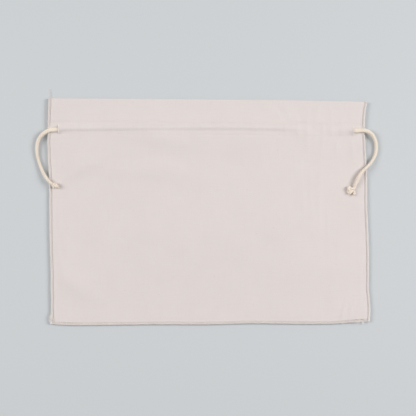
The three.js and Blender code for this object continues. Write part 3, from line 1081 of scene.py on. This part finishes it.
def makeButtonholes():
    s = stitching
    bm = bmesh.new()
    reach = casing["slit"] + s["rimPast"]
    alongSlit = [-reach, *evenSteps(-reach, reach, s["rimStep"])]
    for side in ("left", "right"):
        rim = []
        for inboard, steps in ((s["rimOut"], alongSlit), (-s["rimOut"], alongSlit[::-1])):
            station = slitStation + inboard
            fromLeft = station if side == "left" else clothWidth - station
            for step in steps:
                middle = topOf(fromLeft, hem["crest"] + step) - Vector((0, 0, layers["thick"] / 2))
                rim.append(middle * mm)
        rim.append(rim[0])
        path = smoothPath(rim, 0.2 * mm)
        addTube(bm, path, s["rimCore"] * mm, s["coreSides"])
        satin = woundPath(path, s["rimReach"] * mm, s["rimPitch"] * mm)
        addTube(bm, smoothPath(satin, 0.3 * mm), s["rimThread"] * mm, s["sides"])
    return finishPiece("buttonholeRims", bm, "thread")


makeHemStitches()
makeButtonholes()


# Overlock: looper threads that wrap both raw edges, and the needle thread along their inner ends

overlock = {
    "pitch": 1.6,
    "reach": 2.25,  # in from the outline
    "loop": ((0, 1), (0.17, 0.72), (0.34, 0.3), (0.5, -0.06), (0.66, 0.3), (0.83, 0.72)),  # along, in
    "slip": 0.14,  # along the seam, by chance
    "edgeOut": 0.25,  # from the middle of the edge, where a loop goes round it
    "tuckedIn": 0.1,  # under the needle thread
    "legOut": 0.8,  # of its radius over the cloth
    "thread": 0.26,
    "sides": 6,
    "spacing": 0.42,
    "needle": 0.19,
    "needleOut": 0.1,  # inside the loops' ends
    "needleWave": (0.12, 0.05, -0.25, 0.05),  # over the cloth
    "needleSides": 5,
    "needleSpacing": 0.4,
    "lowest": 0.28,  # over the floor
    "standOff": {"left": 0.75, "bottom": 0.75, "right": 0.52},  # over the cloth's outer face
    "cordRoom": 4.5,  # half the stretch under a cord, where the threads lie down
}


def edgeSpot(which, along, inward, face):
    # a point on the cloth's outer or under face, in from a sewn edge, or beyond that edge
    inset = max(0, inward - layers["sewnIn"])
    if which == "bottom":
        station = (between(0, clothWidth, along / bag["width"]), clothHeight - inset)
        outwards = Vector((0, -1, 0))
    else:
        fromLeft = inset if which == "left" else clothWidth - inset
        station = (fromLeft, between(0, clothHeight, along / bag["height"]))
        outwards = Vector((-1 if which == "left" else 1, 0, 0))
    spot = topOf(*station) if face > 0 else underOf(*station)
    if face > 0:  # the threads stand off the cloth a little, except under the cord
        underCord = hump(station[1] - hem["crest"], overlock["cordRoom"])
        spot.z += overlock["standOff"][which] * (1 - underCord)
    return spot + outwards * max(0, layers["sewnIn"] - inward)


def makeOverlock(which, length, seed):
    o = overlock
    chance = random.Random(seed)
    count = round(length / o["pitch"])
    edgeMiddle = (layers["frontEdge"] + layers["backEdge"]) / 2
    bm = bmesh.new()
    for face in (1, -1):
        legs = []
        for i in range(count):
            slip = chance.uniform(-o["slip"], o["slip"])
            for share, inward in o["loop"]:
                along = min(max((i + share) * length / count + slip, 0), length)
                spot = edgeSpot(which, along, inward * o["reach"], face)
                if share == 0.5:  # round the edge
                    spot.z = edgeMiddle + face * o["edgeOut"]
                elif share == 0:  # under the needle thread
                    spot.z -= face * o["tuckedIn"]
                else:
                    spot.z += face * o["thread"] * o["legOut"]
                spot.z = max(spot.z, o["lowest"])
                legs.append(spot * mm)
        addTube(bm, smoothPath(legs, o["spacing"] * mm), o["thread"] * mm, o["sides"])
        needle = []
        wave = o["needleWave"]
        for i in range(count * len(wave)):
            along = (i + 0.5) * length / count / len(wave)
            spot = edgeSpot(which, along, o["reach"] + o["needleOut"], face)
            spot.z = max(spot.z + face * wave[i % len(wave)], o["lowest"])
            needle.append(spot * mm)
        addTube(bm, smoothPath(needle, o["needleSpacing"] * mm), o["needle"] * mm, o["needleSides"])
    return bm


# Loose threads and fuzz at the corners: where they start, in millimetres, and how far they stray
looseEnds = [
    {"on": "left", "path": [
        (-174.4, 123, 2.4), (-174.2, 125.2, 1.2), (-174.1, 127.4, 0.4), (-174.2, 131.5, 0.3),
        (-174.6, 135.8, 0.3),
    ]},
    {"on": "left", "path": [
        (-177, 101.5, 1.2), (-178, 101.4, 0.9), (-178.5, 100.5, 0.6), (-178, 99.7, 0.8), (-177, 99.6, 1.2),
    ]},
    {"on": "right", "path": [
        (171.6, 78.5, 1.4), (172.6, 78.6, 1.0), (173.2, 77.6, 0.7), (172.5, 76.8, 0.9), (171.8, 76.9, 1.2),
    ]},
]
looseDraw = {"ply": 0.16, "twist": 2.2, "thread": 0.15, "sides": 5, "spacing": 0.35}
fuzz = [
    {"on": "bottom", "x": -172.7, "y": -117.4, "count": 40, "spread": (1.4, 4.0)},
    {"on": "bottom", "x": 166, "y": -120.2, "count": 46, "spread": (5.0, 1.0)},
    {"on": "bottom", "x": 147, "y": -121.4, "count": 10, "spread": (5, 0.8)},
    {"on": "bottom", "x": -155, "y": -121.5, "count": 12, "spread": (8, 1)},
]
fuzzDraw = {"foot": 2.7, "stride": 0.7, "strides": 4, "lowest": 0.3, "thread": 0.17, "sides": 4, "seed": 31}


def addLooseEnds(bm, which):
    d = looseDraw
    for row in looseEnds:
        if row["on"] != which:
            continue
        path = smoothPath([Vector(point) * mm for point in row["path"]], 0.3 * mm)
        for ply in (d["ply"], -d["ply"]):  # two plies twisted together
            wound = woundPath(path, ply * mm, d["twist"] * mm)
            addTube(bm, smoothPath(wound, d["spacing"] * mm), d["thread"] * mm, d["sides"])


def addFuzz(bm, which):
    d = fuzzDraw
    chance = random.Random(d["seed"])
    for row in fuzz:
        if row["on"] != which:
            continue
        wide, deep = row["spread"]
        for _ in range(row["count"]):
            x = row["x"] + chance.uniform(-wide, wide)
            y = row["y"] + chance.uniform(-deep, deep)
            curl = [Vector((x, y, d["foot"]))]
            heading = chance.uniform(0, math.tau)
            for _ in range(d["strides"]):
                heading += chance.uniform(-1.1, 1.1)
                ahead = Vector((math.cos(heading), math.sin(heading), chance.uniform(-0.4, 0.6)))
                curl.append(curl[-1] + ahead * d["stride"])
                curl[-1].z = max(curl[-1].z, d["lowest"])
            addTube(bm, smoothPath([point * mm for point in curl], 0.3 * mm), d["thread"] * mm, d["sides"])


for which, length, seed in (
    ("left", bag["height"], 3),
    ("bottom", bag["width"], 5),
    ("right", bag["height"], 8),
):
    sewn = makeOverlock(which, length, seed)
    addLooseEnds(sewn, which)
    addFuzz(sewn, which)
    finishPiece(which + "Overlock", sewn, "thread", ["overlock_" + which])
print("overlock ready")


# Floor

def makeFloor():
    bm = bmesh.new()
    bmesh.ops.create_grid(bm, x_segments=8, y_segments=8, size=studio["floorHalf"])
    mesh = bpy.data.meshes.new("floor")
    bm.to_mesh(mesh)
    bm.free()
    floor = bpy.data.objects.new("floor", mesh)
    bpy.context.scene.collection.objects.link(floor)
    finish, shader, shade = newFinish("paleFloor", 0.9, 0.0)
    shader.inputs["Specular IOR Level"].default_value = 0  # no gloss at low angles
    where = shade.node("ShaderNodeTexCoord", out="Object")
    distance = shade.node("ShaderNodeVectorMath", {"operation": "LENGTH"}, {0: where}, out="Value")
    near, far = studio["farFloor"]
    # painted light: the floor grows paler with distance, to look lit out to the room
    paintedLightFar = ((distance - near) * (1 / (far - near))).clamped()
    plug(paintedLightFar.mixed(studio["floorColour"], studio["farFloorColour"]), shader.inputs["Base Color"])
    mesh.materials.append(finish)


makeFloor()
